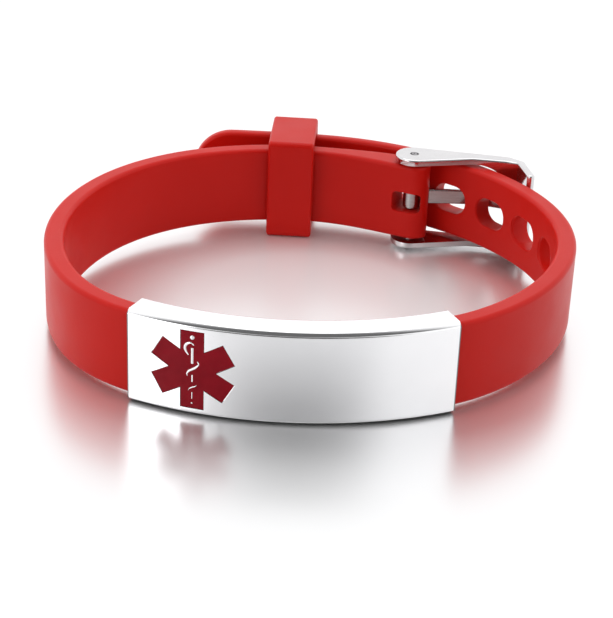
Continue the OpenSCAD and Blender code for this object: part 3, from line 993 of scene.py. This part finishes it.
class BRACELET_OT_stage(Operator):
    """Lay the pale floor, set the soft studio light and place the camera"""
    bl_idname = "bracelet.stage"
    bl_label = "Floor, light and camera"

    def floor(self):
        """A wide flat sheet."""
        corners = [FLOOR_REACH * Vector((x, y, 0)) for x, y in ((-1, -1), (1, -1), (1, 1), (-1, 1))]
        obj = new_mesh("pale_floor", [(corners, [(0, 1, 2, 3)])])
        if obj.data.polygons[0].normal.z < 0:
            obj.data.flip_normals()
        obj.data.materials.append(material("pale_floor", pale_floor))

    def room(self, stage):
        """Soft white room with a dark zone behind the viewer and one above, which give the
        polished steel its band and its dark edges."""
        world = bpy.data.worlds.new("soft_room")
        bpy.context.scene.world = world
        world.use_nodes = True
        tree = world.node_tree
        ground = tree.nodes["Background"]
        ground.inputs["Color"].default_value = (1.0, 1.0, 1.0, 1)
        where = tree.nodes.new("ShaderNodeTexCoord")
        split = tree.nodes.new("ShaderNodeSeparateXYZ")
        tree.links.new(where.outputs["Generated"], split.inputs[0])

        def band(value, start, end, low, high):
            made = tree.nodes.new("ShaderNodeMapRange")
            made.interpolation_type = "SMOOTHSTEP"
            tree.links.new(value, made.inputs["Value"])
            numbers = {"From Min": start, "From Max": end, "To Min": low, "To Max": high}
            for key, number in numbers.items():
                made.inputs[key].default_value = number
            return made.outputs["Result"]

        def times(a, b):
            made = tree.nodes.new("ShaderNodeMath")
            made.operation = "MULTIPLY"
            tree.links.new(a, made.inputs[0])
            tree.links.new(b, made.inputs[1])
            return made.outputs[0]

        viewer = band(split.outputs["Y"], *VIEWER_ZONE, 1 - stage.viewer, 1)
        high = band(split.outputs["Z"], *CEILING_ZONE, 0, 1)
        above = times(high, band(split.outputs["Y"], -0.45, -0.2, 1, 0))
        light = times(viewer, band(above, 0, 1, 1, 1 - stage.ceiling))
        power = tree.nodes.new("ShaderNodeMath")
        power.operation = "MULTIPLY"
        power.inputs[1].default_value = stage.sky
        tree.links.new(light, power.inputs[0])
        tree.links.new(power.outputs[0], ground.inputs["Strength"])

    def lamp(self, name, place, target, size, power):
        light = bpy.data.lights.new(name, "AREA")
        light.shape, light.size, light.energy = "DISK", size, power
        obj = bpy.data.objects.new(name, light)
        bpy.context.scene.collection.objects.link(obj)
        obj.location = place
        way = Vector(target) - Vector(place)
        obj.rotation_euler = way.to_track_quat("-Z", "Y").to_euler()

    def camera(self, stage):
        data = bpy.data.cameras.new("camera")
        data.lens, data.sensor_width, data.clip_start = stage.lens, 36, 0.01
        obj = bpy.data.objects.new("camera", data)
        bpy.context.scene.collection.objects.link(obj)
        height, roll = radians(CAMERA_HEIGHT), radians(CAMERA_ROLL)
        view = Vector((0, cos(height), -sin(height)))
        up, right = Vector((0, sin(height), cos(height))), Vector((1, 0, 0))
        r = cos(roll) * right + sin(roll) * up
        u = -sin(roll) * right + cos(roll) * up
        turn = Matrix((r, u, -view)).transposed().to_4x4()
        bar = bracelet().rest @ Vector((0, 0, 0))
        obj.matrix_world = Matrix.Translation(bar + Vector(CAMERA_PLACE)) @ turn
        bpy.context.scene.camera = obj

    def execute(self, context):
        stage = context.scene.bracelet_stage
        self.floor()
        self.room(stage)
        self.lamp("top_softbox", (-0.03, 0.16, 0.55), (0, 0, 0), 0.45, stage.top)
        self.lamp("left_softbox", (-0.42, -0.40, 0.22), (0, 0, 0.01), 0.3, stage.fill)
        context.scene.view_settings.view_transform = "Standard"
        self.camera(stage)
        return {"FINISHED"}


class BRACELET_PT_panel(Panel):
    bl_label = "Medical Alert Bracelet"
    bl_space_type = "VIEW_3D"
    bl_region_type = "UI"
    bl_category = "Bracelet"

    def draw(self, context):
        for title, group in GROUPS:
            box = self.layout.box()
            box.label(text=title)
            values = getattr(context.scene, group)
            for key in values.__annotations__:
                box.prop(values, key)
        for step in STEPS:
            self.layout.operator("bracelet." + step)


GROUPS = (("Strap", "bracelet_strap"), ("Name plate", "bracelet_plate"),
          ("Buckle", "bracelet_buckle"), ("Stage", "bracelet_stage"))
STEPS = ("strap", "keeper", "plate", "star", "buckle", "pin", "stage")
CLASSES = (StrapSizes, PlateSizes, BuckleSizes, StageLook, BRACELET_OT_strap, BRACELET_OT_keeper,
           BRACELET_OT_plate, BRACELET_OT_star, BRACELET_OT_buckle, BRACELET_OT_pin,
           BRACELET_OT_stage, BRACELET_PT_panel)


def register():
    for item in CLASSES:
        bpy.utils.register_class(item)
    for (_, group), kind in zip(GROUPS, (StrapSizes, PlateSizes, BuckleSizes, StageLook)):
        setattr(bpy.types.Scene, group, PointerProperty(type=kind))


def unregister():
    for _, group in GROUPS:
        delattr(bpy.types.Scene, group)
    for item in reversed(CLASSES):
        bpy.utils.unregister_class(item)


def main():
    register()
    for step in STEPS:
        getattr(bpy.ops.bracelet, step)()


if __name__ == "__main__":
    main()
